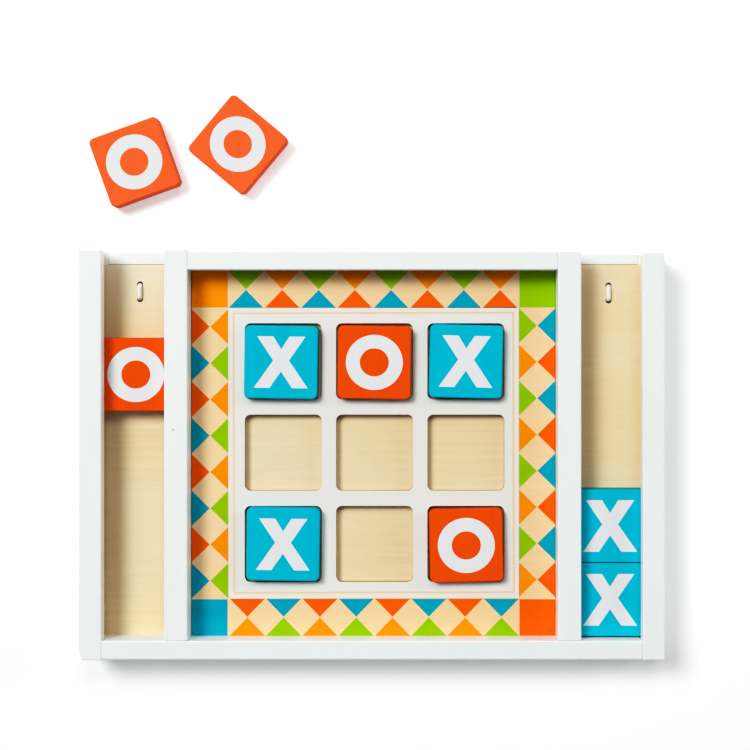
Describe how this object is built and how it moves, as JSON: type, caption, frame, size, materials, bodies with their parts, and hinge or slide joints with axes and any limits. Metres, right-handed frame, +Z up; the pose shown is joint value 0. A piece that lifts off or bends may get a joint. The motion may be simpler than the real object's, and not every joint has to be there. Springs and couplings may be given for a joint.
{
  "type": "tic tac toe set",
  "caption": "White wooden tray with a printed grid deck, a tile channel down each side and loose square tiles marked X or O.",
  "frame": {"origin": "middle of the laid-out set's footprint on the table: the tray, and the two tiles that lie on the table past its open ends", "axes": "+Z up; +X across the tray from the left channel to the right one; +Y along the channels towards their open ends"},
  "size_m": [0.3154, 0.3068, 0.026],
  "materials": {
    "white_paint": "satin white paint over wood",
    "natural_wood": "clear-finished light wood veneer",
    "printed_deck": "screen-printed pattern over light wood veneer",
    "teal_paint": "satin teal paint over wood, white printed sign",
    "orange_paint": "satin orange-red paint over wood, white printed sign",
    "elastic_cord": "white braided elastic",
    "brad_steel": "bright drawn wire"
  },
  "bodies": {
    "tray": {"base_panel": "natural_wood", "bottom_rail": "white_paint", "top_rail": "white_paint", "game_deck": "printed_deck", "left_outer_rail": "white_paint", "right_outer_rail": "white_paint", "left_inner_rail": "white_paint", "right_inner_rail": "white_paint", "left_sill": "white_paint", "right_sill": "white_paint", "left_cord_loop": "elastic_cord", "right_cord_loop": "elastic_cord", "inner_rail_floor_brads": "brad_steel", "inner_rail_end_brads": "brad_steel", "outer_corner_brads": "brad_steel", "top_rail_brads": "brad_steel"},
    "x_tile_1_body": {"x_tile_1": "teal_paint"},
    "x_tile_2_body": {"x_tile_2": "teal_paint"},
    "x_tile_3_body": {"x_tile_3": "teal_paint"},
    "x_tile_4_body": {"x_tile_4": "teal_paint"},
    "x_tile_5_body": {"x_tile_5": "teal_paint"},
    "o_tile_1_body": {"o_tile_1": "orange_paint"},
    "o_tile_2_body": {"o_tile_2": "orange_paint"},
    "o_tile_3_body": {"o_tile_3": "orange_paint"},
    "o_tile_4_body": {"o_tile_4": "orange_paint"},
    "o_tile_5_body": {"o_tile_5": "orange_paint"}
  },
  "joints": [
    {"name": "x_tile_1_lift", "type": "slide", "parent": "tray", "child": "x_tile_1_body", "axis": [0, 0, 1], "range_m": [0, 0.03]},
    {"name": "x_tile_2_lift", "type": "slide", "parent": "tray", "child": "x_tile_2_body", "axis": [0, 0, 1], "range_m": [0, 0.03]},
    {"name": "x_tile_3_lift", "type": "slide", "parent": "tray", "child": "x_tile_3_body", "axis": [0, 0, 1], "range_m": [0, 0.03]},
    {"name": "o_tile_1_lift", "type": "slide", "parent": "tray", "child": "o_tile_1_body", "axis": [0, 0, 1], "range_m": [0, 0.03]},
    {"name": "o_tile_2_lift", "type": "slide", "parent": "tray", "child": "o_tile_2_body", "axis": [0, 0, 1], "range_m": [0, 0.03]},
    {"name": "o_tile_4_lift", "type": "slide", "parent": "tray", "child": "o_tile_4_body", "axis": [0, 0, 1], "range_m": [0, 0.03]},
    {"name": "o_tile_5_lift", "type": "slide", "parent": "tray", "child": "o_tile_5_body", "axis": [0, 0, 1], "range_m": [0, 0.03]},
    {"name": "o_tile_3_slide", "type": "slide", "parent": "tray", "child": "o_tile_3_body", "axis": [0, 1, 0], "range_m": [-0.1228, 0.071], "deforming": ["left_cord_loop"]},
    {"name": "x_tile_5_slide", "type": "slide", "parent": "tray", "child": "x_tile_5_body", "axis": [0, 1, 0], "range_m": [0, 0.2105], "deforming": ["right_cord_loop"]},
    {"name": "x_tile_4_slide", "type": "slide", "parent": "x_tile_5_body", "child": "x_tile_4_body", "axis": [0, 1, 0], "range_m": [0, 0.1705], "deforming": ["right_cord_loop"]}
  ]
}
